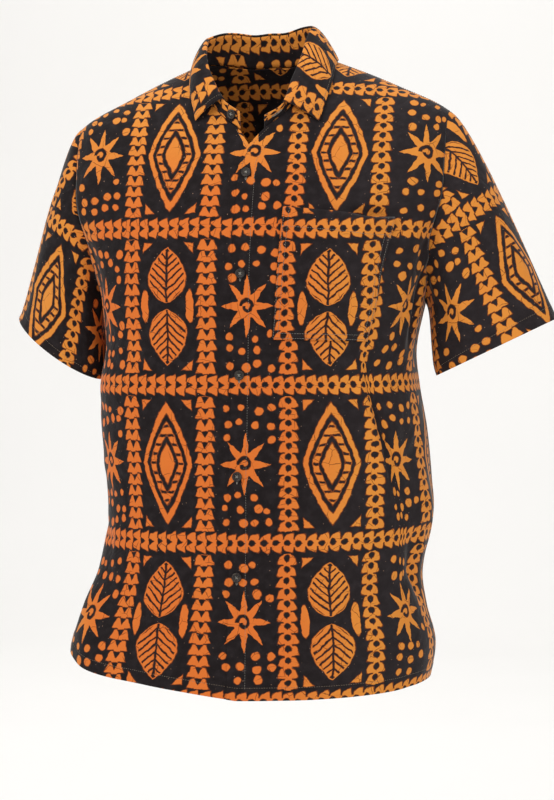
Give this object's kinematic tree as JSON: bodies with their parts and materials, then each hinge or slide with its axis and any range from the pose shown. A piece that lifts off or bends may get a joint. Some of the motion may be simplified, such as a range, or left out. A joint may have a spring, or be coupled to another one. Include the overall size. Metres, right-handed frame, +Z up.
{
  "type": "hawaiian shirt",
  "caption": "Short-sleeved batik shirt in its worn, hollow shape, with a pointed collar open at the neck, a buttoned front and one chest pocket.",
  "frame": {"origin": "midway between the two points where the shoulder seams meet the collar, where the wearer's shoulders carry the shirt", "axes": "+Z up, the front faces -Y, the wearer's left side is +X"},
  "size_m": [0.6748, 0.2772, 0.8023],
  "materials": {
    "batik_cloth": "smooth plain weave, wax-resist print in orange on brown-black",
    "button_brown": "dark brown, soft sheen"
  },
  "bodies": {
    "root": {"front_left": "batik_cloth", "front_right": "batik_cloth", "back": "batik_cloth", "sleeve_left": "batik_cloth", "sleeve_right": "batik_cloth", "collar_stand": "batik_cloth", "collar_leaf": "batik_cloth", "pocket": "batik_cloth", "button_1": "button_brown", "button_2": "button_brown", "button_3": "button_brown", "button_4": "button_brown", "button_5": "button_brown", "button_stand": "button_brown"}
  },
  "joints": []
}
